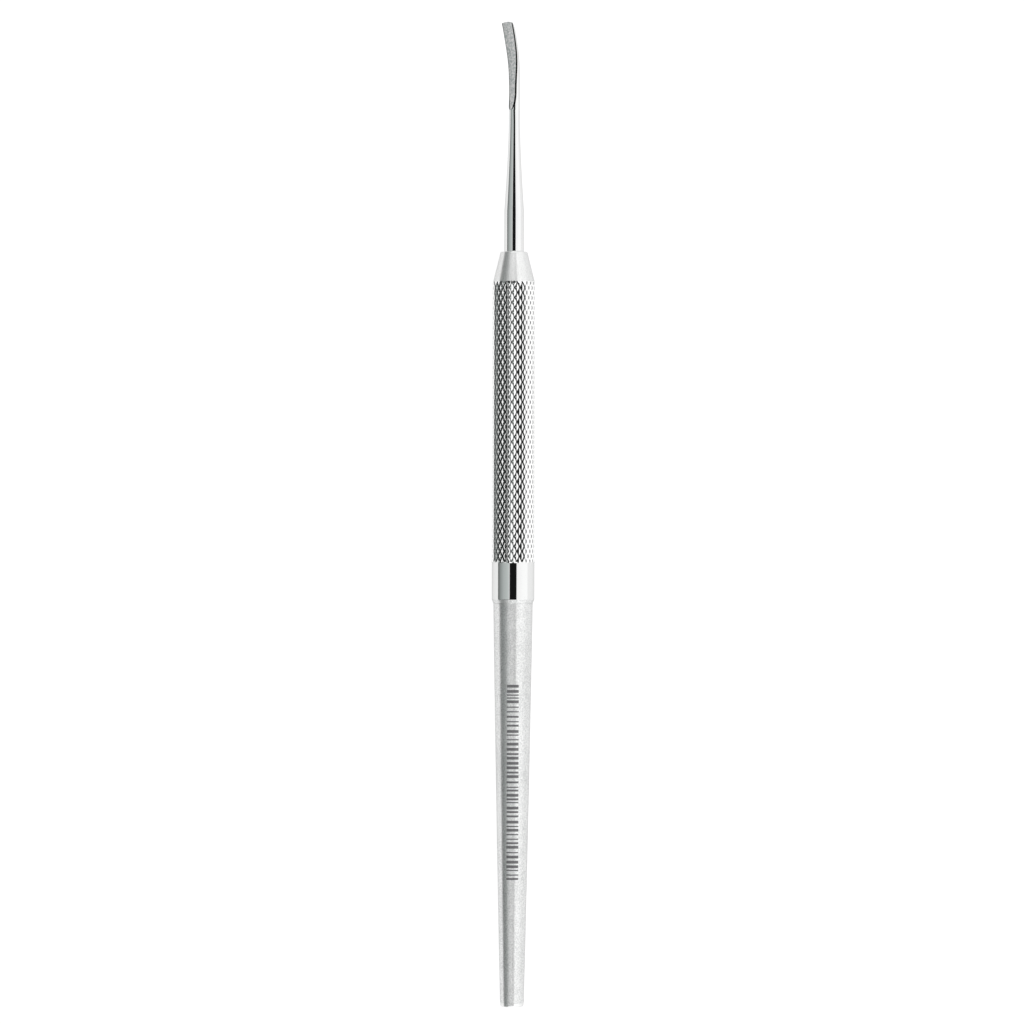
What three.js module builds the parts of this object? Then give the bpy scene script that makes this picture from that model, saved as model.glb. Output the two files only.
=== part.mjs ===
// Dental elevator with a narrow bent gouge blade, in millimetres.
//
// The instrument lies on its side. +X runs along its axis towards the blade's tip, +Z is up,
// z = 0 is the surface that the knurled grip rests on, and x = 0 is half way along.
//
// It is six pieces: the steel working end (blade, neck, shank and tang in one), the nose bush
// that holds the tang, the knurled grip tube, the spigot that joins the two tubes, the tapered
// tail tube, and the plug that closes the tail.

import * as THREE from 'three';

// Lengths along the axis, from the blade's tip to the end of the tail.
const BLADE_LENGTH = 15.6;
const NECK_LENGTH = 1.9;
const TAPER_LENGTH = 16;
const SHANK_LENGTH = 7.3;
const NOSE_LENGTH = 5.3;
const KNURL_LENGTH = 50;
const LAND_LENGTH = 6.5;
const BEVEL_LENGTH = 0.7;
const TAIL_LENGTH = 71;
const PLUG_HEAD = 0.7;

// Radii of the outside, in the same order.
const NECK_R = 0.98;
const SHANK_R = 1.75;
const NOSE_FRONT_R = 2.4;
const NOSE_BASE_R = 3.7;
const CREST_R = 3.875;
const LAND_R = 3.8;
const TAIL_FRONT_R = 3.5;
const TAIL_REAR_R = 2.12;
const TAIL_CROWN = 0.06; // how far the tail's side bulges past a straight cone
const PLUG_R = 2.06;
const PLUG_ROUND = 0.55;

// The diamond knurl: two families of 30 degree helical grooves.
const KNURL_STARTS = 24;
const KNURL_ROWS = 56; // half a diamond's length each
const KNURL_DEPTH = 0.34;
const KNURL_MARGIN = 0.3; // from the first and last row to the end of the knurled length
const REST_FLATS = 16;
const FLAT_RELIEF = 0.01;

// Inside the handle.
const GRIP_BORE_R = 3;
const TAIL_BORE_FRONT_R = 2.6;
const TAIL_BORE_REAR_R = 1.5;
const TAIL_BORE_STEP = 10; // length of the straight bore at the tail tube's front
const TAIL_BORE_END = 6; // and at its rear
const TANG_R = 1.5;
const TANG_LENGTH = 16;
const NOSE_SPIGOT = 12;
const JOINT_SPIGOT_FRONT = 12;
const JOINT_SPIGOT_REAR = 9.7;
const PLUG_STEM = 4;
const FIT = 0.03; // radial clearance of each turned fit
const CHAMFER = 0.15;
const LEAD_IN = 0.4; // chamfer on the end of a spigot, stem or tang

// The blade: a half-round gouge with a hollow-ground face. s is the distance behind the tip.
const FACE_ROLL = THREE.MathUtils.degToRad(45); // the face looks up and to the +Y side
const TIP_HALF_WIDTH = 1.335;
const TIP_DEPTH = 1.15; // from the widest line down to the back
const TIP_FACE_LEVEL = 0.05; // the face above the widest line, at the tip
const FACE_LEVEL = 0.55; // the face above the axis, along the straight part
const FLARE_END = 2.3; // the blade widens from the run-out to here
const BEND_START = 8.9;
const BEND_R = 23;
const BEND_ANGLE = THREE.MathUtils.degToRad(12.2);
const WHEEL_R = 12.7; // the grinding wheel, whose run-out ends the face in the round neck
const RUNOUT_START = BLADE_LENGTH - Math.sqrt(2 * WHEEL_R * (NECK_R - FACE_LEVEL));
const HOLLOW_R = 4.5; // across the face
const SPOON_LENGTH = 2; // the back is rounded up to the edge over this length
const EDGE_SHARE = 0.25; // of the depth is left at the edge
const TIP_ARC = 0.25; // the edge's middle stands this far ahead of its corners
const TIP_ARC_FADE = 3;

const SEGMENTS = 2 * KNURL_STARTS;
const AXIS_HEIGHT = CREST_R * Math.cos(Math.PI / SEGMENTS); // the grip rests on a flat of its crests
const INNER_SEGMENTS = 24;
const FACE_SEGMENTS = 8;
const BACK_SEGMENTS = 22;
const CORNER_MAX = THREE.MathUtils.degToRad(60);

// Stations on the axis.
const TOTAL_LENGTH = BLADE_LENGTH + NECK_LENGTH + TAPER_LENGTH + SHANK_LENGTH + NOSE_LENGTH
  + KNURL_LENGTH + LAND_LENGTH + BEVEL_LENGTH + TAIL_LENGTH + PLUG_HEAD;
const X_TIP = TOTAL_LENGTH / 2;
const X_NECK = X_TIP - BLADE_LENGTH - NECK_LENGTH;
const X_SHANK = X_NECK - TAPER_LENGTH;
const X_SHOULDER = X_SHANK - SHANK_LENGTH;
const X_GRIP = X_SHOULDER - NOSE_LENGTH;
const X_LAND = X_GRIP - KNURL_LENGTH;
const X_BEVEL = X_LAND - LAND_LENGTH;
const X_JOINT = X_BEVEL - BEVEL_LENGTH;
const X_PLUG = X_JOINT - TAIL_LENGTH;
const X_END = X_PLUG - PLUG_HEAD;

// ---- Materials ----

const polished = new THREE.MeshStandardMaterial({ color: 0xd6d8d8, roughness: 0.12, metalness: 1 });
const bright = new THREE.MeshStandardMaterial({ color: 0xd0d2d2, roughness: 0.2, metalness: 1 });
const satin = new THREE.MeshStandardMaterial({ color: 0xc2c4c4, roughness: 0.45, metalness: 1 });
const turned = new THREE.MeshStandardMaterial({ color: 0xa8abab, roughness: 0.5, metalness: 1 });

// ---- Building blocks ----

// A turned piece. The profile is [x, radius] pairs, towards +X along its outside.
function turnedPiece(name, profile, material, segments) {
  const points = profile.map(([x, radius]) => new THREE.Vector2(radius, x));
  const mesh = new THREE.Mesh(new THREE.LatheGeometry(points, segments), material);
  mesh.name = name;
  mesh.rotation.z = -Math.PI / 2;
  return mesh;
}

// A closed geometry through rings of points that follow each other towards +X and run
// anticlockwise seen from +X. A tube's last ring joins its first, and a solid gets end caps.
// splitsAC(i, k) says which diagonal parts a four-sided patch.
function geometryFromRings(rings, isTube, splitsAC = () => false) {
  const count = rings[0].length;
  const index = [];
  const strips = isTube ? rings.length : rings.length - 1;
  for (let i = 0; i < strips; i += 1) {
    const here = i * count;
    const next = ((i + 1) % rings.length) * count;
    for (let k = 0; k < count; k += 1) {
      const across = (k + 1) % count;
      const [a, b, c, d] = [here + k, here + across, next + across, next + k];
      if (splitsAC(i, k)) {
        index.push(a, b, c, a, c, d);
      } else {
        index.push(a, b, d, b, c, d);
      }
    }
  }
  if (!isTube) {
    const last = (rings.length - 1) * count;
    capTriangles(rings[0]).forEach(([p, q, r]) => index.push(p, r, q));
    capTriangles(rings[rings.length - 1]).forEach(([p, q, r]) => index.push(last + p, last + q, last + r));
  }
  const geometry = new THREE.BufferGeometry();
  const positions = rings.flat().flatMap((point) => point.toArray());
  geometry.setAttribute('position', new THREE.Float32BufferAttribute(positions, 3));
  geometry.setIndex(index);
  geometry.computeVertexNormals();
  return geometry;
}

function capTriangles(ring) {
  const outline = ring.map((point) => new THREE.Vector2(point.y, point.z));
  return THREE.ShapeUtils.triangulateShape(outline, []);
}

// A flat between two points of the ring, not a point, is lowest.
function roundRing(x, radii) {
  return radii.map((radius, k) => {
    const angle = ((k + 0.5) / radii.length) * 2 * Math.PI;
    return new THREE.Vector3(x, radius * Math.cos(angle), radius * Math.sin(angle));
  });
}

// ---- Working end ----

// A section of the working end at x: the lower part of an ellipse about (0, centre), closed on
// top by the ground face. Where the face lies outside the ellipse the section is whole.
function section(x, halfWidth, depth, centre, face) {
  const faceHalf = halfWidth * Math.sqrt(Math.max(0, 1 - (face / depth) ** 2));
  const corner = Math.min(Math.asin(Math.min(1, face / depth)), CORNER_MAX);
  const topHalf = halfWidth * Math.cos(corner);
  const ring = [];
  for (let k = 0; k < FACE_SEGMENTS; k += 1) {
    const y = topHalf * (1 - (2 * k) / FACE_SEGMENTS);
    const round = depth * Math.sqrt(1 - (y / halfWidth) ** 2);
    const hollow = Math.max(0, faceHalf ** 2 - y ** 2) / (2 * HOLLOW_R);
    ring.push(new THREE.Vector3(x, y, centre + Math.min(round, face - hollow)));
  }
  for (let k = 0; k < BACK_SEGMENTS; k += 1) {
    const angle = Math.PI - corner + (k / BACK_SEGMENTS) * (Math.PI + 2 * corner);
    ring.push(new THREE.Vector3(x, halfWidth * Math.cos(angle), centre + depth * Math.sin(angle)));
  }
  return ring;
}

const roundSection = (x, radius) => section(x, radius, radius, 0, radius);

function bladeSection(s) {
  const flare = 1 - THREE.MathUtils.smoothstep(s, FLARE_END, RUNOUT_START);
  const halfWidth = THREE.MathUtils.lerp(NECK_R, TIP_HALF_WIDTH, flare);
  const fullDepth = THREE.MathUtils.lerp(NECK_R, TIP_DEPTH, flare);
  const rounding = Math.sqrt(1 - Math.max(0, 1 - s / SPOON_LENGTH) ** 2);
  const depth = fullDepth * THREE.MathUtils.lerp(EDGE_SHARE, 1, rounding);
  const drop = (FACE_LEVEL - TIP_FACE_LEVEL) * flare;
  const runout = Math.max(0, s - RUNOUT_START) ** 2 / (2 * WHEEL_R);
  const ring = section(X_TIP - s, halfWidth, depth, bendRise(s) + drop, FACE_LEVEL - drop + runout);
  const arc = TIP_ARC * Math.max(0, 1 - s / TIP_ARC_FADE);
  ring.forEach((point) => {
    point.x -= arc * (point.y / halfWidth) ** 2;
  });
  return ring;
}

// The bend lifts the blade along an arc, and then along that arc's tangent up to the tip.
function bendRise(s) {
  const bent = Math.max(0, BEND_START - s);
  const turn = Math.min(bent / BEND_R, BEND_ANGLE);
  return BEND_R * (1 - Math.cos(turn)) + (bent - BEND_R * turn) * Math.tan(BEND_ANGLE);
}

function workingEnd() {
  const tangEnd = X_SHOULDER - TANG_LENGTH;
  const rings = [
    roundSection(tangEnd, TANG_R - LEAD_IN),
    roundSection(tangEnd + LEAD_IN, TANG_R),
    roundSection(X_SHOULDER, TANG_R),
    roundSection(X_SHOULDER, SHANK_R),
  ];
  const taperSteps = 8;
  for (let i = 0; i <= taperSteps; i += 1) {
    const u = i / taperSteps;
    rings.push(roundSection(X_SHANK + u * TAPER_LENGTH, NECK_R + (SHANK_R - NECK_R) * (1 - u) ** 1.5));
  }
  const runoutSteps = 6;
  for (let i = 0; i < runoutSteps; i += 1) {
    rings.push(bladeSection(THREE.MathUtils.lerp(BLADE_LENGTH, RUNOUT_START, i / runoutSteps)));
  }
  const bladeSteps = 10;
  for (let i = 0; i < bladeSteps; i += 1) {
    rings.push(bladeSection(THREE.MathUtils.lerp(RUNOUT_START, SPOON_LENGTH, i / bladeSteps)));
  }
  const spoonSteps = 5;
  for (let i = 0; i <= spoonSteps; i += 1) {
    const turn = (i / spoonSteps) * (Math.PI / 2);
    rings.push(bladeSection(SPOON_LENGTH * (1 - Math.sin(turn))));
  }
  const mesh = new THREE.Mesh(geometryFromRings(rings, false), polished);
  mesh.name = 'working_end';
  mesh.rotation.x = -FACE_ROLL;
  return mesh;
}

// ---- Handle ----

function noseBush() {
  const spigotEnd = X_GRIP - NOSE_SPIGOT;
  const spigotR = GRIP_BORE_R - FIT;
  const boreR = TANG_R + FIT;
  return turnedPiece('nose_bush', [
    [spigotEnd, boreR],
    [spigotEnd, spigotR - LEAD_IN],
    [spigotEnd + LEAD_IN, spigotR],
    [X_GRIP, spigotR],
    [X_GRIP, NOSE_BASE_R],
    [X_SHOULDER - CHAMFER, NOSE_FRONT_R],
    [X_SHOULDER, NOSE_FRONT_R - CHAMFER],
    [X_SHOULDER, boreR],
    [spigotEnd, boreR],
  ], satin, SEGMENTS);
}

// Crossed grooves leave pyramids. On a ring of 2 * KNURL_STARTS points every other one is a
// crest and the rest are groove crossings, and the two change places from row to row. The
// crests lie on shallow flats, one of them lowest, so that the grip doesn't roll for ever.
// Every third crest is a corner between two flats, and the others stand back a little.
function knurlRow(row) {
  const flat = (2 * Math.PI) / REST_FLATS;
  return Array.from({ length: SEGMENTS }, (_, k) => {
    const angle = ((k + 0.5) / SEGMENTS) * 2 * Math.PI;
    const setBack = k % 3 === 1 ? 0 : FLAT_RELIEF;
    const crestR = AXIS_HEIGHT / Math.cos(angle - Math.round(angle / flat) * flat) - setBack;
    return (k + row) % 2 ? crestR : crestR - KNURL_DEPTH;
  });
}

function gripTube() {
  const plain = (radius) => new Array(SEGMENTS).fill(radius);
  const stations = [[X_JOINT, plain(TAIL_FRONT_R)], [X_BEVEL, plain(LAND_R)], [X_LAND, plain(LAND_R)]];
  const knurlStart = X_LAND + KNURL_MARGIN;
  const rowPitch = (KNURL_LENGTH - 2 * KNURL_MARGIN) / KNURL_ROWS;
  for (let row = 0; row <= KNURL_ROWS; row += 1) {
    stations.push([knurlStart + row * rowPitch, knurlRow(row)]);
  }
  stations.push([X_GRIP, plain(NOSE_BASE_R)], [X_GRIP, plain(GRIP_BORE_R)], [X_JOINT, plain(GRIP_BORE_R)]);

  // A patch between two rows is parted along the groove, which joins its two lower corners.
  const alongGroove = (i, k) => {
    const here = stations[i][1];
    const next = stations[(i + 1) % stations.length][1];
    const across = (k + 1) % SEGMENTS;
    return here[k] + next[across] < here[across] + next[k];
  };
  const rings = stations.map(([x, radii]) => roundRing(x, radii));
  const mesh = new THREE.Mesh(geometryFromRings(rings, true, alongGroove), bright);
  mesh.name = 'grip_tube';
  return mesh;
}

function jointSpigot() {
  const rearR = TAIL_BORE_FRONT_R - FIT;
  const frontR = GRIP_BORE_R - FIT;
  const rear = X_JOINT - JOINT_SPIGOT_REAR;
  const front = X_JOINT + JOINT_SPIGOT_FRONT;
  return turnedPiece('joint_spigot', [
    [rear, 0],
    [rear, rearR - LEAD_IN],
    [rear + LEAD_IN, rearR],
    [X_JOINT, rearR],
    [X_JOINT, frontR],
    [front - LEAD_IN, frontR],
    [front, frontR - LEAD_IN],
    [front, 0],
  ], turned, INNER_SEGMENTS);
}

function tailTube() {
  const side = new THREE.QuadraticBezierCurve(
    new THREE.Vector2(X_PLUG, TAIL_REAR_R),
    new THREE.Vector2((X_PLUG + X_JOINT) / 2, (TAIL_REAR_R + TAIL_FRONT_R) / 2 + 2 * TAIL_CROWN),
    new THREE.Vector2(X_JOINT, TAIL_FRONT_R),
  ).getPoints(8).map((point) => point.toArray());
  return turnedPiece('tail_tube', [
    [X_PLUG, TAIL_BORE_REAR_R],
    ...side,
    [X_JOINT, TAIL_BORE_FRONT_R],
    [X_JOINT - TAIL_BORE_STEP, TAIL_BORE_FRONT_R],
    [X_PLUG + TAIL_BORE_END, TAIL_BORE_REAR_R],
    [X_PLUG, TAIL_BORE_REAR_R],
  ], satin, SEGMENTS);
}

// The plug's rounded head ends in the flat face that the instrument can stand on.
function tailPlug() {
  const roundSteps = 4;
  const head = Array.from({ length: roundSteps + 1 }, (_, i) => {
    const angle = (i / roundSteps) * (Math.PI / 2);
    return [X_END + PLUG_ROUND * (1 - Math.cos(angle)), PLUG_R - PLUG_ROUND * (1 - Math.sin(angle))];
  });
  const stemR = TAIL_BORE_REAR_R - FIT;
  return turnedPiece('tail_plug', [
    [X_END, 0],
    ...head,
    [X_PLUG, PLUG_R],
    [X_PLUG, stemR],
    [X_PLUG + PLUG_STEM, stemR],
    [X_PLUG + PLUG_STEM, 0],
  ], satin, SEGMENTS);
}

const elevator = new THREE.Group();
elevator.add(workingEnd(), noseBush(), gripTube(), jointSpigot(), tailTube(), tailPlug());
elevator.position.z = AXIS_HEIGHT;

export default elevator;
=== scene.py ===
import math
import random

import bmesh
import bpy
import numpy as np
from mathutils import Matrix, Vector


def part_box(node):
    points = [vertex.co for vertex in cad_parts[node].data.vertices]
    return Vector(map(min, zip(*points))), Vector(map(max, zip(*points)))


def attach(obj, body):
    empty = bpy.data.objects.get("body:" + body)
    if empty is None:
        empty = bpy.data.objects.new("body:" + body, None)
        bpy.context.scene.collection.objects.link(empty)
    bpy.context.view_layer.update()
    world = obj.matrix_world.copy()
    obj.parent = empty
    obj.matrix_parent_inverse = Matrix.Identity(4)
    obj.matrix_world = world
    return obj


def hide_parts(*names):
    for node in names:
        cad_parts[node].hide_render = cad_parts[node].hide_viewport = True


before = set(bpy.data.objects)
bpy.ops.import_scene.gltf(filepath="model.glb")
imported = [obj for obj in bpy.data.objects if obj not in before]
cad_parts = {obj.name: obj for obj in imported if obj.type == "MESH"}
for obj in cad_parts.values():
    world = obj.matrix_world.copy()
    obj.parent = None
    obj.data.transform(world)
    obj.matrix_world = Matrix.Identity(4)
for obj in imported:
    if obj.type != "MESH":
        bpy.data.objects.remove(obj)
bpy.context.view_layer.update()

# A dental elevator lying on its side, blade towards +X. Lengths are in millimetres on the
# instrument's own axis until a mesh is made; the mesh is in metres in the frame's coordinates.

MM = 0.001
BODY = "root"

# ---- Places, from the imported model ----


def ends_x(node):
    low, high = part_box(node)
    return low.x / MM, high.x / MM


GRIP_LOW, GRIP_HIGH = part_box("grip_tube")
AXIS_Z = (GRIP_LOW.z + GRIP_HIGH.z) / 2 / MM
CREST_R = (GRIP_HIGH.z - GRIP_LOW.z) / 2 / MM

X_TANG_END, X_TIP = ends_x("working_end")
X_SPIGOT_END, X_SHOULDER = ends_x("nose_bush")
X_JOINT, X_GRIP = ends_x("grip_tube")
X_PLUG, _ = ends_x("tail_tube")
X_END, X_STEM_END = ends_x("tail_plug")

# ---- Measures that the model's boxes don't give ----

BLADE_LENGTH = 15.6
NECK_LENGTH = 1.9
SHANK_LENGTH = 7.3
LAND_LENGTH = 6.5
BEVEL_LENGTH = 0.7
X_NECK = X_TIP - BLADE_LENGTH - NECK_LENGTH
X_SHANK = X_SHOULDER + SHANK_LENGTH
X_BEVEL = X_JOINT + BEVEL_LENGTH
X_LAND = X_BEVEL + LAND_LENGTH

NECK_R = 0.98
SHANK_R = 1.75
TANG_R = 1.5
NOSE_FRONT_R = 2.4
NOSE_BASE_R = 3.7
LAND_R = 3.8
TAIL_FRONT_R = 3.5
TAIL_REAR_R = 2.12
TAIL_CROWN = 0.06
PLUG_R = 2.06
GRIP_BORE_R = 3.0
TAIL_BORE_FRONT_R = 2.6
TAIL_BORE_REAR_R = 1.5
TAIL_BORE_STEP = 10.0
TAIL_BORE_END = 6.0
FIT = 0.03

# How far each corner is rounded back along its sides.
BLADE_TANG_ROUND = 0.12
BAND_ROUND = 0.06
BORE_ROUND = 0.1
NOSE_ROUND = 0.05
NOSE_CHAMFER = 0.12
TAIL_ROUND = 0.07
PLUG_HEAD_ROUND = 0.5
PLUG_STEM_ROUND = 0.06

# ---- Mesh building ----

MERGE_DISTANCE = 1e-8  # metres
SHORTEST_EDGE = 1e-9  # metres
STRAIGHT_DEGREES = 6
LONGEST_TRIM = 0.45  # of a side
MIN_R = 1e-4


def make_object(name, points, faces, zones, materials, sharp_degrees=32.0):
    """A closed piece from points in millimetres on the axis, with one material number per face."""
    placed = np.asarray(points, float) * MM
    placed[:, 2] += AXIS_Z * MM
    mesh = bpy.data.meshes.new(name)
    mesh.from_pydata(placed.tolist(), [], [list(map(int, f)) for f in faces])
    for material in materials:
        mesh.materials.append(material)
    mesh.polygons.foreach_set("material_index", np.asarray(zones, np.int32))
    work = bmesh.new()
    work.from_mesh(mesh)
    bmesh.ops.remove_doubles(work, verts=work.verts, dist=MERGE_DISTANCE)
    bmesh.ops.dissolve_degenerate(work, edges=work.edges, dist=SHORTEST_EDGE)
    bmesh.ops.recalc_face_normals(work, faces=work.faces)
    work.to_mesh(mesh)
    work.free()
    mesh.shade_smooth()
    mesh.set_sharp_from_angle(angle=math.radians(sharp_degrees))
    piece = bpy.data.objects.new(name, mesh)
    bpy.context.scene.collection.objects.link(piece)
    return piece


def soften(profile, trim, steps=4, closed=False):
    """Rounds the corners of an [x, radius] profile. Near-straight corners stay as they are."""
    points = [np.array(p, float) for p in profile]
    count = len(points)
    result = []
    for i, here in enumerate(points):
        if not closed and i in (0, count - 1):
            result.append(here)
            continue
        before = points[i - 1] - here
        after = points[(i + 1) % count] - here
        length_before = np.linalg.norm(before)
        length_after = np.linalg.norm(after)
        turn = math.pi - math.acos(np.clip(before @ after / (length_before * length_after), -1, 1))
        if turn < math.radians(STRAIGHT_DEGREES):
            result.append(here)
            continue
        reach = min(trim, LONGEST_TRIM * length_before, LONGEST_TRIM * length_after)
        start = here + before / length_before * reach
        end = here + after / length_after * reach
        for k in range(steps + 1):
            t = k / steps
            result.append((1 - t) ** 2 * start + 2 * t * (1 - t) * here + t ** 2 * end)
    return result


def ring_points(x, radii):
    """One ring about the axis, with one radius per segment."""
    angles = (np.arange(len(radii)) + 0.5) / len(radii) * 2 * math.pi
    return np.stack([np.full(len(radii), x), radii * np.cos(angles), radii * np.sin(angles)], 1)


def strip_faces(here, following, count):
    """Quads between two rings."""
    k = np.arange(count)
    across = (k + 1) % count
    return np.stack([here + k, here + across, following + across, following + k], 1)


def revolve(name, profile, materials, zone_of=None, closed=True, segments=192):
    """A turned piece. A profile that isn't closed starts and ends on the axis."""
    rings = [ring_points(x, np.full(segments, max(r, 0.0))) for x, r in profile]
    faces = []
    zones = []
    strips = len(rings) if closed else len(rings) - 1
    for i in range(strips):
        j = (i + 1) % len(rings)
        faces.extend(strip_faces(i * segments, j * segments, segments).tolist())
        middle = (np.asarray(profile[i]) + np.asarray(profile[j])) / 2
        zones.extend([zone_of(*middle) if zone_of else 0] * segments)
    return make_object(name, np.concatenate(rings), faces, zones, materials)


# ---- Materials ----


class Shader:
    """A Principled material whose inputs are built from procedural nodes in frame coordinates."""

    def __init__(self, name, metallic=1.0, edge_tint=0.75, brushed=0.0):
        self.material = bpy.data.materials.new(name)
        self.material.use_nodes = True
        self.tree = self.material.node_tree
        self.tree.nodes.clear()
        output = self.node("ShaderNodeOutputMaterial")
        self.surface = self.node("ShaderNodeBsdfPrincipled")
        self.surface.inputs["Metallic"].default_value = metallic
        self.surface.inputs["Specular Tint"].default_value = (edge_tint, edge_tint, edge_tint, 1.0)
        if brushed:
            self.surface.inputs["Anisotropic"].default_value = brushed
            along = self.node("ShaderNodeCombineXYZ")
            along.inputs["X"].default_value = 1.0
            self.tree.links.new(along.outputs[0], self.surface.inputs["Tangent"])
        self.tree.links.new(self.surface.outputs["BSDF"], output.inputs["Surface"])
        self.place = self.node("ShaderNodeTexCoord").outputs["Object"]

    def node(self, kind, **settings):
        made = self.tree.nodes.new(kind)
        for key, value in settings.items():
            setattr(made, key, value)
        return made

    def feed(self, socket, value):
        if isinstance(value, bpy.types.NodeSocket):
            self.tree.links.new(value, socket)
        else:
            socket.default_value = value

    def math(self, operation, a, b=0.0):
        made = self.node("ShaderNodeMath", operation=operation)
        self.feed(made.inputs[0], a)
        self.feed(made.inputs[1], b)
        return made.outputs[0]

    def weigh(self, first, share, second, other_share):
        shares = [self.math("MULTIPLY", *pair) for pair in ((first, share), (second, other_share))]
        return self.math("ADD", *shares)

    def noise(self, scale, detail=3.0, roughness=0.55, stretch=(1, 1, 1)):
        mapping = self.node("ShaderNodeMapping")
        self.feed(mapping.inputs["Vector"], self.place)
        mapping.inputs["Scale"].default_value = stretch
        made = self.node("ShaderNodeTexNoise")
        self.feed(made.inputs["Vector"], mapping.outputs["Vector"])
        made.inputs["Scale"].default_value = scale
        made.inputs["Detail"].default_value = detail
        made.inputs["Roughness"].default_value = roughness
        return made.outputs["Fac"]

    def spread(self, value, low, high, to_low, to_high):
        made = self.node("ShaderNodeMapRange")
        self.feed(made.inputs["Value"], value)
        made.inputs["From Min"].default_value = low
        made.inputs["From Max"].default_value = high
        made.inputs["To Min"].default_value = to_low
        made.inputs["To Max"].default_value = to_high
        return made.outputs["Result"]

    def tint(self, factor, first, second):
        """A mix of two colours, each a colour of three numbers or another node's output."""
        made = self.node("ShaderNodeMix", data_type="RGBA")
        self.feed(made.inputs[0], factor)
        for socket, tone in ((made.inputs[6], first), (made.inputs[7], second)):
            self.feed(socket, tone if isinstance(tone, bpy.types.NodeSocket) else (*tone, 1.0))
        return made.outputs[2]

    def colour(self, value):
        self.feed(self.surface.inputs["Base Color"], value)

    def roughness(self, value):
        self.feed(self.surface.inputs["Roughness"], value)

    def bump(self, height, strength, distance):
        made = self.node("ShaderNodeBump")
        made.inputs["Strength"].default_value = strength
        made.inputs["Distance"].default_value = distance
        self.feed(made.inputs["Height"], height)
        self.feed(self.surface.inputs["Normal"], made.outputs["Normal"])


def polished_steel():
    shader = Shader("polished_steel")
    cloud = shader.noise(180.0, detail=4.0)
    lines = shader.noise(5200.0, detail=2.0, stretch=(0.06, 1, 1))
    shader.colour(shader.tint(cloud, (0.735, 0.74, 0.74), (0.79, 0.792, 0.788)))
    wear = shader.weigh(cloud, 0.5, lines, 0.5)
    shader.roughness(shader.spread(wear, 0.3, 0.7, 0.03, 0.08))
    shader.bump(lines, 0.05, 4e-6)
    return shader.material


def ground_steel():
    shader = Shader("ground_face_steel")
    grain = shader.noise(2700.0, detail=3.0, roughness=0.6)
    lines = shader.noise(9000.0, detail=2.0, stretch=(0.12, 1, 1))
    mottle = shader.weigh(grain, 0.9, lines, 0.1)
    contrast = shader.spread(mottle, 0.38, 0.62, 0, 1)
    shader.colour(shader.tint(contrast, (0.52, 0.56, 0.555), (0.92, 0.9, 0.9)))
    shader.roughness(shader.spread(grain, 0.3, 0.7, 0.55, 0.7))
    shader.bump(mottle, 0.6, 2.5e-5)
    return shader.material


def knurled_steel():
    shader = Shader("knurled_steel")
    cloud = shader.noise(220.0, detail=4.0)
    grain = shader.noise(6000.0, detail=3.0)
    groove = shader.node("ShaderNodeAttribute", attribute_name="groove").outputs["Fac"]
    # Painted shade: the groove mask darkens the base colour to near black at the grooves' bottoms, most
    # where two grooves cross.
    painted_groove_shade = shader.spread(groove, 0.5, 0.85, 0.0, 0.95)
    bright = shader.tint(cloud, (0.9, 0.902, 0.9), (0.96, 0.962, 0.958))
    shader.colour(shader.tint(painted_groove_shade, bright, (0.03, 0.03, 0.031)))
    rubbed = shader.spread(grain, 0.3, 0.7, 0.03, 0.06)
    shader.roughness(shader.math("ADD", rubbed, shader.math("MULTIPLY", painted_groove_shade, 0.02)))
    shader.bump(grain, 0.06, 5e-6)
    return shader.material


def satin_steel(name, rough_low, rough_high, relief, dark, light):
    shader = Shader(name, brushed=1.0)
    cloud = shader.noise(140.0, detail=4.0)
    mottle = shader.noise(1900.0, detail=4.0, roughness=0.65)
    blast = shader.noise(4200.0, detail=3.0, roughness=0.6)
    mixed = shader.weigh(cloud, 0.2, blast, 0.8)
    shader.colour(shader.tint(shader.spread(mixed, 0.4, 0.6, 0, 1), dark, light))
    shader.roughness(shader.spread(mottle, 0.3, 0.7, rough_low, rough_high))
    height = shader.math("ADD", mottle, shader.math("MULTIPLY", blast, 0.3))
    shader.bump(height, relief, 3e-5)
    return shader.material


def painted_shade_edge():
    """The narrow edge round the blade's face, coloured near black as painted shade."""
    shader = Shader("painted_shade_edge_steel", edge_tint=0.1)
    cloud = shader.noise(900.0, detail=3.0)
    # Painted shade: a near-black colour and little edge tint on the strips beside the ground face.
    shader.colour(shader.tint(cloud, (0.02, 0.02, 0.021), (0.05, 0.05, 0.051)))
    shader.roughness(shader.spread(cloud, 0.3, 0.7, 0.12, 0.22))
    return shader.material


def turned_steel():
    shader = Shader("turned_steel")
    rings = shader.noise(2600.0, detail=2.0, stretch=(1, 0.03, 0.03))
    shader.colour(shader.tint(rings, (0.52, 0.525, 0.53), (0.66, 0.665, 0.66)))
    shader.roughness(shader.spread(rings, 0.3, 0.7, 0.32, 0.5))
    shader.bump(rings, 0.5, 2e-5)
    return shader.material


def laser_marked_steel():
    shader = Shader("laser_marked_steel", metallic=0.35)
    speck = shader.noise(5200.0, detail=3.0, roughness=0.7)
    contrast = shader.spread(speck, 0.3, 0.7, 0, 1)
    shader.colour(shader.tint(contrast, (0.13, 0.13, 0.135), (0.23, 0.23, 0.235)))
    shader.roughness(shader.spread(speck, 0.3, 0.7, 0.5, 0.68))
    shader.bump(speck, 0.3, 8e-6)
    return shader.material


POLISHED = polished_steel()
GROUND = ground_steel()
PAINTED_SHADE_EDGE = painted_shade_edge()
KNURLED = knurled_steel()
SATIN = satin_steel("satin_steel_tail", 0.36, 0.46, 0.35, (0.7, 0.71, 0.705), (0.95, 0.955, 0.95))
SATIN_NOSE = satin_steel("satin_steel_nose", 0.34, 0.42, 0.12, (0.79, 0.795, 0.79), (0.88, 0.885, 0.88))
SATIN_PLUG = satin_steel("satin_steel_plug", 0.3, 0.4, 0.05, (0.86, 0.865, 0.86), (0.95, 0.955, 0.95))
TURNED = turned_steel()
MARKED = laser_marked_steel()

# ---- Blade and shank ----

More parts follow.
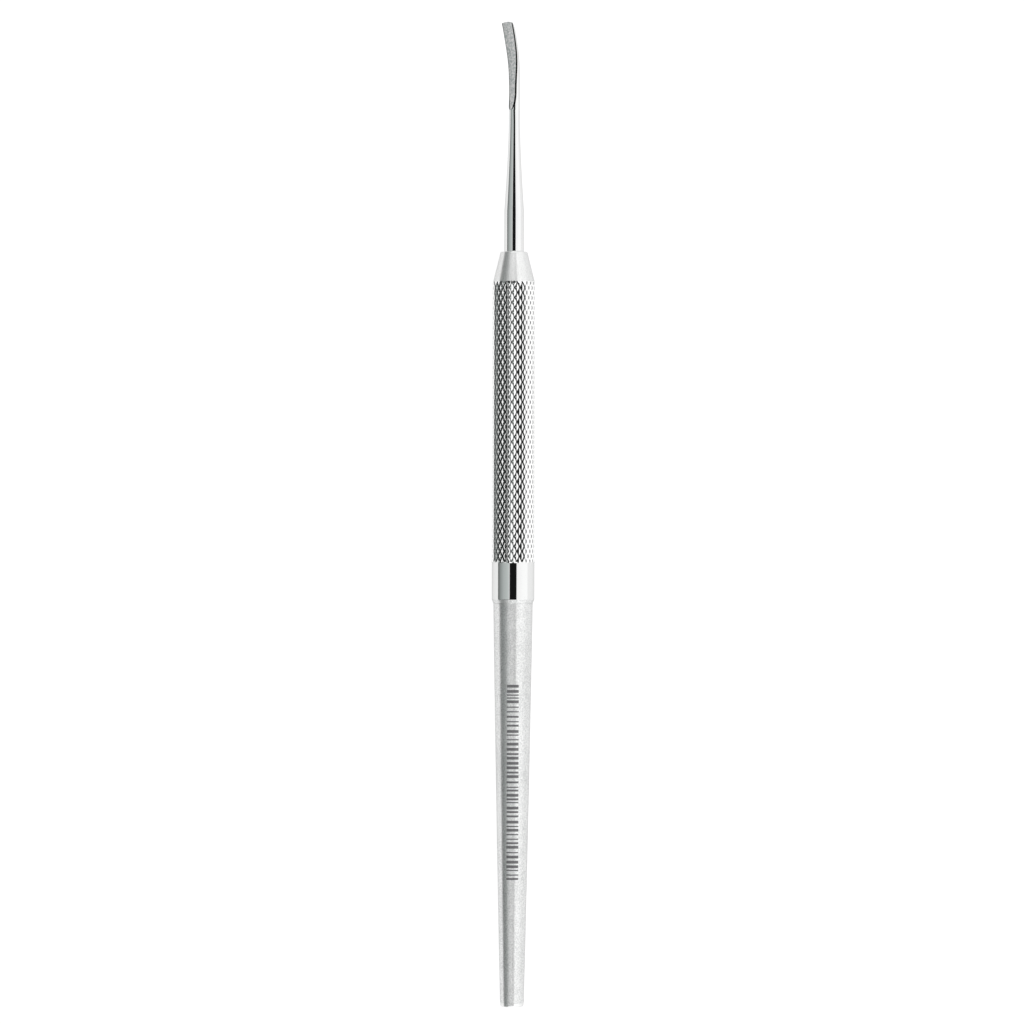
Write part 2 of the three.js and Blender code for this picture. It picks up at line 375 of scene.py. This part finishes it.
# The blade is a half-round gouge with a hollow-ground face. s is the distance behind the tip.
FACE_ROLL = math.radians(45)
TIP_HALF_WIDTH = 1.335
TIP_DEPTH = 1.15
TIP_FACE_LEVEL = 0.05
FACE_LEVEL = 0.55
FLARE_END = 2.3
BEND_START = 8.9
BEND_R = 23.0
BEND_ANGLE = math.radians(12.2)
WHEEL_R = 12.7
RUNOUT_START = BLADE_LENGTH - math.sqrt(2 * WHEEL_R * (NECK_R - FACE_LEVEL))
HOLLOW_R = 9.0
SPOON_LENGTH = 2.0
EDGE_SHARE = 0.14
TIP_ARC = 0.25
TIP_ARC_FADE = 3.0
EDGE_BEVEL = 0.2  # the polished bevel between the face and the back

FACE_STEPS = 24
EDGE_STEPS = 6
BACK_STEPS = 72
SHANK_RINGS = 81
BLADE_RINGS = 130
TIP_RINGS = 25
SHANK_CURVE = 1.5


def smoothstep(value, low, high):
    t = min(1.0, max(0.0, (value - low) / (high - low)))
    return t * t * (3 - 2 * t)


def mix(a, b, t):
    return a + (b - a) * t


def section(x, half_width, depth, centre, face):
    """A section of the working end: an ellipse about (0, centre), cut by the hollow face."""
    level = min(1.0, face / depth)
    corner = math.asin(level)
    face_half = half_width * math.cos(corner)
    trim = min(EDGE_BEVEL, 0.3 * face_half)
    swing = trim / max(half_width, depth)
    rim = face_half - trim

    def hollow(y):
        return face - (face_half ** 2 - y ** 2) / (2 * HOLLOW_R)

    def on_back(angle):
        return np.array([half_width * math.cos(angle), depth * math.sin(angle)])

    def edge(side):
        outer = np.array([side * face_half, depth * level])
        start = np.array([side * rim, hollow(rim)])
        first = corner - swing
        end = on_back(first if side > 0 else math.pi - first)
        near_start = mix(start, outer, 0.5)
        near_end = mix(end, outer, 0.5)
        made = []
        for k in range(EDGE_STEPS + 1):
            t = k / EDGE_STEPS
            made.append((1 - t) ** 3 * start + 3 * t * (1 - t) ** 2 * near_start
                        + 3 * t ** 2 * (1 - t) * near_end + t ** 3 * end)
        return made

    ring = [np.array([y, hollow(y)]) for y in np.linspace(rim, -rim, FACE_STEPS + 1)]
    ring += edge(-1)[1:]
    sweep = np.linspace(math.pi - corner + swing, 2 * math.pi + corner - swing, BACK_STEPS + 1)
    ring += [on_back(angle) for angle in sweep[1:]]
    ring += edge(1)[::-1][1:-1]
    return np.array([[x, y, centre + z] for y, z in ring])


def round_section(x, radius):
    return section(x, radius, radius, 0.0, radius)


def bend_rise(s):
    bent = max(0.0, BEND_START - s)
    turn = min(bent / BEND_R, BEND_ANGLE)
    return BEND_R * (1 - math.cos(turn)) + (bent - BEND_R * turn) * math.tan(BEND_ANGLE)


def blade_section(s):
    flare = 1 - smoothstep(s, FLARE_END, RUNOUT_START)
    half_width = mix(NECK_R, TIP_HALF_WIDTH, flare)
    rounding = math.sqrt(1 - max(0.0, 1 - s / SPOON_LENGTH) ** 2)
    depth = mix(NECK_R, TIP_DEPTH, flare) * mix(EDGE_SHARE, 1.0, rounding)
    drop = (FACE_LEVEL - TIP_FACE_LEVEL) * flare
    runout = max(0.0, s - RUNOUT_START) ** 2 / (2 * WHEEL_R)
    ring = section(X_TIP - s, half_width, depth, bend_rise(s) + drop, FACE_LEVEL - drop + runout)
    arc = TIP_ARC * max(0.0, 1 - s / TIP_ARC_FADE)
    ring[:, 0] -= arc * (ring[:, 1] / half_width) ** 2
    return ring


def blade_zone(k, count):
    """1 for the ground face, 2 for the edges beside it, 0 for the polished back."""
    if k < FACE_STEPS:
        return 1
    return 2 if k < FACE_STEPS + EDGE_STEPS or k >= count - EDGE_STEPS else 0


def blade_and_shank():
    profile = [(X_TANG_END, 0.0), (X_TANG_END, TANG_R), (X_SHOULDER, TANG_R), (X_SHOULDER, SHANK_R)]
    profile = soften(profile + [(X_SHANK - 0.5, SHANK_R)], BLADE_TANG_ROUND)[:-1]
    rings = [round_section(x, max(r, MIN_R)) for x, r in profile]
    for u in np.linspace(0, 1, SHANK_RINGS):
        x = mix(X_SHANK, X_NECK, u)
        rings.append(round_section(x, NECK_R + (SHANK_R - NECK_R) * (1 - u) ** SHANK_CURVE))
    for s in np.linspace(BLADE_LENGTH, SPOON_LENGTH, BLADE_RINGS):
        rings.append(blade_section(s))
    for turn in np.linspace(0, math.pi / 2, TIP_RINGS)[1:]:
        rings.append(blade_section(SPOON_LENGTH * (1 - math.sin(turn))))
    count = len(rings[0])
    faces = []
    zones = []
    blade_start = X_TIP - BLADE_LENGTH
    for i in range(len(rings) - 1):
        faces.extend(strip_faces(i * count, (i + 1) * count, count).tolist())
        ground = rings[i + 1][0][0] > blade_start
        zones.extend([blade_zone(k, count) if ground else 0 for k in range(count)])
    last = (len(rings) - 1) * count
    faces.append([last + k for k in range(count)])
    zones.append(0)
    points = np.concatenate(rings)
    y, z = points[:, 1].copy(), points[:, 2].copy()
    points[:, 1] = y * math.cos(FACE_ROLL) + z * math.sin(FACE_ROLL)
    points[:, 2] = z * math.cos(FACE_ROLL) - y * math.sin(FACE_ROLL)
    return make_object("blade_and_shank", points, faces, zones, [POLISHED, GROUND, PAINTED_SHADE_EDGE], 40.0)


# ---- Knurl ----

KNURL_STARTS = 24
KNURL_ROWS = 56
KNURL_MARGIN = 0.3
CELL = 5  # mesh steps in half a diamond
AROUND = 2 * KNURL_STARTS * CELL
ROW_PITCH = (X_GRIP - X_LAND - 2 * KNURL_MARGIN) / KNURL_ROWS
AXIAL_STEP = ROW_PITCH / CELL
GROOVE_PITCH = (2 * math.pi * CREST_R / KNURL_STARTS) * math.cos(
    math.atan2(2 * math.pi * CREST_R / KNURL_STARTS, 2 * ROW_PITCH))
GROOVE_SLOPES = (0.6, 0.5, 0.4, 0.35, 0.3)  # of each mesh step, from a groove's bottom to the crest
GROOVE_RISE = np.concatenate([[0.0], np.cumsum(GROOVE_SLOPES)]) * GROOVE_PITCH / (2 * CELL)
GROOVE_DEPTH = GROOVE_RISE[-1]
CUT_TOLERANCE = 0.001
CROSSING_SHARE = 0.4  # how much the painted shade gathers where two grooves cross
BAND_RISE = 0.6  # the slope of the knurl's last crests, down to the polished band
BAND_FALL = 0.5  # the slope of its last grooves, up to the band
SATIN_REACH = 0.05  # behind the bevel's front edge
CONE_SLOPE = (NOSE_BASE_R - NOSE_FRONT_R) / (X_SHOULDER - X_GRIP)


def groove_height(turns):
    """Height above the groove's bottom. turns counts grooves across one family."""
    steps_out = np.abs(turns - np.floor(turns) - 0.5) * 2 * CELL
    return np.interp(steps_out, np.arange(CELL + 1), GROOVE_RISE)


def knurl_heights(x):
    """Heights of the two groove families round one ring."""
    around = np.arange(AROUND) / AROUND * KNURL_STARTS
    along = (x - X_LAND - KNURL_MARGIN) / (2 * ROW_PITCH)
    return groove_height(around + along), groove_height(around - along)


def knurl_radii(x):
    first, second = knurl_heights(x)
    return CREST_R - GROOVE_DEPTH + np.minimum(first, second)


def cone_radius(x):
    return NOSE_BASE_R + (X_GRIP - x) * CONE_SLOPE


def grip_radii(x):
    """The knurl, cut by the nose's cone in front and rising to the band behind."""
    radii = np.minimum(knurl_radii(x), cone_radius(x))
    behind = x - X_LAND
    radii = np.minimum(radii, LAND_R + BAND_RISE * behind)
    return np.maximum(radii, LAND_R - BAND_FALL * behind)


def split_cells(here, following, x):
    """Triangles between two knurl rows, parted along whichever groove family is lower."""
    first, second = knurl_heights(x)
    quads = strip_faces(here, following, AROUND)
    lean = np.roll(first, -1) + first > np.roll(second, -1) + second
    triangles = []
    for quad, other in zip(quads.tolist(), lean.tolist()):
        a, b, c, d = quad
        triangles += [[a, b, c], [a, c, d]] if other else [[a, b, d], [b, c, d]]
    return triangles


def knurled_grip():
    plain = soften([(X_JOINT, TAIL_FRONT_R), (X_BEVEL, LAND_R), (X_LAND - 0.3, LAND_R)], BAND_ROUND)
    plain += [(X_LAND - 0.1, LAND_R), (X_LAND, LAND_R)]
    rings = [ring_points(x, np.full(AROUND, r)) for x, r in plain]
    stations = [x for x, _ in plain]
    knurl_from = len(rings)
    x = X_LAND + KNURL_MARGIN - AXIAL_STEP * int(KNURL_MARGIN / AXIAL_STEP)
    while x < X_GRIP - 0.2 * AXIAL_STEP:
        rings.append(ring_points(x, grip_radii(x)))
        stations.append(x)
        x += AXIAL_STEP
    rings.append(ring_points(X_GRIP, grip_radii(X_GRIP)))
    stations.append(X_GRIP)
    knurl_to = len(rings) - 1
    rings.append(ring_points(X_GRIP, np.full(AROUND, GRIP_BORE_R)))
    rings.append(ring_points(X_JOINT, np.full(AROUND, GRIP_BORE_R)))
    faces = []
    zones = []
    for i in range(len(rings)):
        j = (i + 1) % len(rings)
        if knurl_from <= i < knurl_to:
            made = split_cells(i * AROUND, j * AROUND, (stations[i] + stations[i + 1]) / 2)
            zone = 0
        else:
            made = strip_faces(i * AROUND, j * AROUND, AROUND).tolist()
            zone = 2 if i >= knurl_to else 3 if stations[i] < X_BEVEL - SATIN_REACH else 1
        faces.extend(made)
        zones.extend([zone] * len(made))
    points = np.concatenate(rings)
    materials = [KNURLED, POLISHED, TURNED, SATIN]
    piece = make_object("knurled_grip", points, faces, zones, materials, 20.0)
    add_painted_groove_shade(piece)
    return piece


def add_painted_groove_shade(piece):
    """A painted-shade mask for the knurl: from 0 on a crest or on the cone's cut to 1 at the bottom
    where two grooves cross.
    """
    mesh = piece.data
    co = np.zeros(len(mesh.vertices) * 3)
    mesh.vertices.foreach_get("co", co)
    x, y, z = (co.reshape(-1, 3) / MM).T
    radius = np.hypot(y, z - AXIS_Z)
    around = (np.arctan2(z - AXIS_Z, y) / (2 * math.pi) - 0.5 / AROUND) * KNURL_STARTS
    along = (x - X_LAND - KNURL_MARGIN) / (2 * ROW_PITCH)
    first = groove_height(around + along)
    second = groove_height(around - along)
    cut = radius < CREST_R - GROOVE_DEPTH + np.minimum(first, second) - CUT_TOLERANCE
    line = np.clip((CREST_R - radius) / GROOVE_DEPTH, 0, 1)
    crossing = 1 - np.maximum(first, second) / GROOVE_DEPTH
    depth = np.where(cut, 0.0, mix(line, crossing, CROSSING_SHARE))
    mesh.attributes.new("groove", "FLOAT", "POINT").data.foreach_set("value", depth)


def nose_cone():
    """The satin cone. The knurl's grooves run a little way out into its base."""
    spigot_r = GRIP_BORE_R - FIT
    bore_r = TANG_R + FIT
    inner = soften([(X_SHOULDER, bore_r), (X_SPIGOT_END, bore_r), (X_SPIGOT_END, spigot_r),
                    (X_GRIP, spigot_r)], BORE_ROUND)
    rings = [ring_points(x, np.full(AROUND, r)) for x, r in inner]
    groove_end = X_GRIP + (NOSE_BASE_R - CREST_R + GROOVE_DEPTH) / CONE_SLOPE
    groove_steps = int(math.ceil((groove_end - X_GRIP) / AXIAL_STEP))
    for k in range(groove_steps + 1):
        x = X_GRIP + k * AXIAL_STEP
        rings.append(ring_points(x, np.minimum(knurl_radii(x), cone_radius(x))))
    last_x = X_GRIP + groove_steps * AXIAL_STEP
    front = soften([(last_x, cone_radius(last_x)), (X_SHOULDER - NOSE_CHAMFER, NOSE_FRONT_R),
                    (X_SHOULDER, NOSE_FRONT_R - NOSE_CHAMFER), (X_SHOULDER, bore_r)], NOSE_ROUND)
    rings += [ring_points(x, np.full(AROUND, r)) for x, r in front[1:-1]]
    faces = []
    zones = []
    for i in range(len(rings)):
        j = (i + 1) % len(rings)
        faces.extend(strip_faces(i * AROUND, j * AROUND, AROUND).tolist())
        zones.extend([1 if i < len(inner) else 0] * AROUND)
    return make_object("nose_cone", np.concatenate(rings), faces, zones, [SATIN_NOSE, TURNED], 30.0)


# ---- Tail ----

SIDE_SKIN = 0.3  # what lies deeper than this below the side is bore


def tail_side(t):
    """The tail's slightly crowned side, from the plug at 0 to the joint at 1."""
    middle = (TAIL_REAR_R + TAIL_FRONT_R) / 2 + 2 * TAIL_CROWN
    radius = (1 - t) ** 2 * TAIL_REAR_R + 2 * t * (1 - t) * middle + t ** 2 * TAIL_FRONT_R
    return mix(X_PLUG, X_JOINT, t), radius


def tapered_tail():
    side = [tail_side(t) for t in np.linspace(0, 1, 49)]
    inner = [(X_JOINT, TAIL_BORE_FRONT_R), (X_JOINT - TAIL_BORE_STEP, TAIL_BORE_FRONT_R),
             (X_PLUG + TAIL_BORE_END, TAIL_BORE_REAR_R), (X_PLUG, TAIL_BORE_REAR_R)]
    profile = soften(side + inner, TAIL_ROUND, closed=True)

    def zone_of(x, r):
        t = (x - X_PLUG) / (X_JOINT - X_PLUG)
        return 0 if r > tail_side(min(1.0, max(0.0, t)))[1] - SIDE_SKIN else 1

    return revolve("tapered_tail", profile, [SATIN, TURNED], zone_of)


def tail_end_plug():
    stem_r = TAIL_BORE_REAR_R - FIT
    profile = [(X_END, 0.0), (X_END, PLUG_R), (X_PLUG, PLUG_R), (X_PLUG, stem_r),
               (X_STEM_END, stem_r), (X_STEM_END, 0.0)]
    head = soften(profile[:3], PLUG_HEAD_ROUND, steps=10)
    rest = soften(profile[1:], PLUG_STEM_ROUND)[1:]
    return revolve("tail_end_plug", head[:-1] + rest, [SATIN_PLUG], closed=False)


# ---- Generic laser mark: a row of plain bars, no lettering ----

MARK_FROM = -30.2
MARK_TO = -65.2
MARK_HALF_WIDTH = 1.05
MARK_PROUD = 0.006
MARK_DEPTH = 0.05
MARK_SEED = 24
MARK_COLUMNS = 10
BAR_WIDTHS = (0.22, 0.34, 0.5)
BAR_GAPS = (0.3, 0.42, 0.6)


def mark_bar(x_from, x_to, half_width):
    """One bar as a thin closed shell that follows the tail's side."""
    outer = []
    inner = []
    for x in (x_from, x_to):
        t = (x - X_PLUG) / (X_JOINT - X_PLUG)
        radius = tail_side(t)[1]
        for k in range(MARK_COLUMNS + 1):
            y = mix(-half_width, half_width, k / MARK_COLUMNS)
            angle = math.asin(y / radius)
            for made, r in ((outer, radius + MARK_PROUD), (inner, radius - MARK_DEPTH)):
                made.append([x, r * math.sin(angle), r * math.cos(angle)])
    points = outer + inner
    row = MARK_COLUMNS + 1
    shift = len(outer)
    faces = []
    for k in range(MARK_COLUMNS):
        faces.append([k, k + 1, row + k + 1, row + k])
        faces.append([shift + k, shift + row + k, shift + row + k + 1, shift + k + 1])
        faces.append([k, shift + k, shift + k + 1, k + 1])
        faces.append([row + k, row + k + 1, shift + row + k + 1, shift + row + k])
    for k in (0, MARK_COLUMNS):
        faces.append([k, row + k, shift + row + k, shift + k])
    return points, faces


def laser_mark():
    draw = random.Random(MARK_SEED)
    points = []
    faces = []
    x = MARK_FROM
    while x > MARK_TO:
        width = draw.choice(BAR_WIDTHS)
        gap = draw.choice(BAR_GAPS)
        bar_points, bar_faces = mark_bar(x - width, x, MARK_HALF_WIDTH)
        start = len(points)
        points += bar_points
        faces += [[start + k for k in face] for face in bar_faces]
        x -= width + gap
    return make_object("laser_mark", points, faces, [0] * len(faces), [MARKED])


# ---- Assembly ----


def fit(piece, slot, *nodes):
    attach(piece, BODY)
    if nodes:
        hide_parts(*nodes)


fit(blade_and_shank(), "hardened_steel_polished", "working_end")
fit(nose_cone(), "steel_satin", "nose_bush")
fit(knurled_grip(), "steel_knurled_bright", "grip_tube")
fit(tapered_tail(), "steel_satin", "tail_tube")
fit(tail_end_plug(), "steel_satin", "tail_plug")
fit(laser_mark(), "steel_satin")

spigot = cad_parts["joint_spigot"]
if not spigot.data.materials:
    spigot.data.materials.append(TURNED)
for material_slot in spigot.material_slots:
    material_slot.link = "OBJECT"
    material_slot.material = TURNED

# ---- Floor, light and camera ----

FLOOR_HALF = 3.0
FLOOR_GLOW = 0.90
FLOOR_ALBEDO = 0.20
CAMERA_HEIGHT = 0.9
SENSOR_WIDTH = 36.0
LENS = 177.87
CAMERA_X = 0.00043
CAMERA_Y = 0.000231
CAMERA_TURN = -89.837


def floor():
    mesh = bpy.data.meshes.new("floor")
    half = FLOOR_HALF
    corners = [(-half, -half, 0), (half, -half, 0), (half, half, 0), (-half, half, 0)]
    mesh.from_pydata(corners, [], [(0, 1, 2, 3)])
    material = bpy.data.materials.new("pale_floor")
    material.use_nodes = True
    surface = material.node_tree.nodes["Principled BSDF"]
    surface.inputs["Base Color"].default_value = (FLOOR_ALBEDO, FLOOR_ALBEDO, FLOOR_ALBEDO, 1)
    surface.inputs["Roughness"].default_value = 1.0
    surface.inputs["Specular IOR Level"].default_value = 0.0
    surface.inputs["Emission Color"].default_value = (1, 1, 1, 1)
    surface.inputs["Emission Strength"].default_value = FLOOR_GLOW
    mesh.materials.append(material)
    made = bpy.data.objects.new("floor", mesh)
    bpy.context.scene.collection.objects.link(made)


# Brightness of the surroundings against the angle across the instrument: 0 straight up,
# positive to the -Y side. A narrow black card hangs above, and dark panels stand to the left.
OVERHEAD = [
    (-95, 1.0), (-90.5, 1.0), (-89.5, 0.2), (-81, 0.23), (-72, 0.36), (-63, 0.44), (-53, 0.54),
    (-33, 0.64), (-25, 0.7), (-21, 0.85), (-18.8, 0.85), (-18.2, 0.01), (18.2, 0.01), (18.8, 1.12),
    (30, 1.17), (55, 1.24), (80, 1.26), (90, 1.05), (95, 1.0),
]
PANEL = [
    (-95, 1.0), (-90.5, 1.0), (-89.5, 0.1), (-78, 0.07), (-70, 0.26), (-58, 0.26), (-50, 0.05),
    (-12, 0.03), (18, 0.03), (20, 1.2), (55, 1.3), (90, 1.1), (95, 1.0),
]
FAR = [
    (-95, 1.0), (-90.5, 1.0), (-89.5, 0.08), (-75, 0.12), (-50, 1.0), (-25, 1.9), (-5, 2.2), (10, 2.0),
    (30, 1.4), (88, 1.2), (95, 1.0),
]
DARK_BELOW = 0.8
DARK_TINT = (0.93, 1.0, 0.98)  # the dark surroundings are a little green
BACKDROP = (1.0, 1.0, 1.0, 1.0)
# The zones that follow each other along the instrument both ways: where each begins and is complete.
ZONES = ((PANEL, 11.5, 12.5), (FAR, 30, 34))


def brightness_ramp(shader, angle, stops):
    ramp = shader.nodes.new("ShaderNodeValToRGB")
    shader.links.new(angle, ramp.inputs["Fac"])
    elements = ramp.color_ramp.elements
    while len(elements) > 1:
        elements.remove(elements[-1])
    for i, (degrees, value) in enumerate(stops):
        place = (degrees + 180) / 360
        element = elements[0] if i == 0 else elements.new(place)
        element.position = place
        tint = DARK_TINT if value < DARK_BELOW else (1, 1, 1)
        element.color = (*(value * share for share in tint), 1)
    return ramp.outputs["Color"]


def surroundings():
    world = bpy.data.worlds.new("studio")
    bpy.context.scene.world = world
    world.use_nodes = True
    tree = world.node_tree
    background = tree.nodes["Background"]
    direction = tree.nodes.new("ShaderNodeTexCoord").outputs["Generated"]
    parts = tree.nodes.new("ShaderNodeSeparateXYZ")
    tree.links.new(direction, parts.inputs[0])

    def math_node(operation, a, b=0.0):
        made = tree.nodes.new("ShaderNodeMath")
        made.operation = operation
        for socket, value in zip(made.inputs, (a, b)):
            if isinstance(value, bpy.types.NodeSocket):
                tree.links.new(value, socket)
            else:
                socket.default_value = value
        return made.outputs[0]

    across = math_node("ARCTAN2", math_node("MULTIPLY", parts.outputs["Y"], -1.0), parts.outputs["Z"])
    across = math_node("ADD", math_node("DIVIDE", across, 2 * math.pi), 0.5)
    along = math_node("ABSOLUTE", math_node("DEGREES", math_node("ARCSINE", parts.outputs["X"])))

    def step(begins, complete):
        made = tree.nodes.new("ShaderNodeMapRange")
        made.interpolation_type = "SMOOTHSTEP"
        tree.links.new(along, made.inputs["Value"])
        made.inputs["From Min"].default_value = begins
        made.inputs["From Max"].default_value = complete
        return made.outputs["Result"]

    def blend(factor, first, second):
        made = tree.nodes.new("ShaderNodeMix")
        made.data_type = "RGBA"
        tree.links.new(factor, made.inputs[0])
        tree.links.new(first, made.inputs[6])
        tree.links.new(second, made.inputs[7])
        return made.outputs[2]

    colour = brightness_ramp(tree, across, OVERHEAD)
    for stops, begins, complete in ZONES:
        colour = blend(step(begins, complete), colour, brightness_ramp(tree, across, stops))
    # Beyond the floor's edge the camera sees a plain backdrop. Only the metal sees the bands.
    seen = tree.nodes.new("ShaderNodeLightPath").outputs["Is Camera Ray"]
    plain = tree.nodes.new("ShaderNodeRGB").outputs[0]
    plain.default_value = BACKDROP
    tree.links.new(blend(seen, colour, plain), background.inputs["Color"])


def camera():
    data = bpy.data.cameras.new("camera")
    data.lens = LENS
    data.sensor_width = SENSOR_WIDTH
    data.clip_start = 0.01
    data.clip_end = 20.0
    made = bpy.data.objects.new("camera", data)
    made.location = (CAMERA_X, CAMERA_Y, AXIS_Z * MM + CAMERA_HEIGHT)
    made.rotation_euler = (0.0, 0.0, math.radians(CAMERA_TURN))
    bpy.context.scene.collection.objects.link(made)
    bpy.context.scene.camera = made


floor()
surroundings()
camera()
bpy.context.scene.view_settings.view_transform = "Standard"
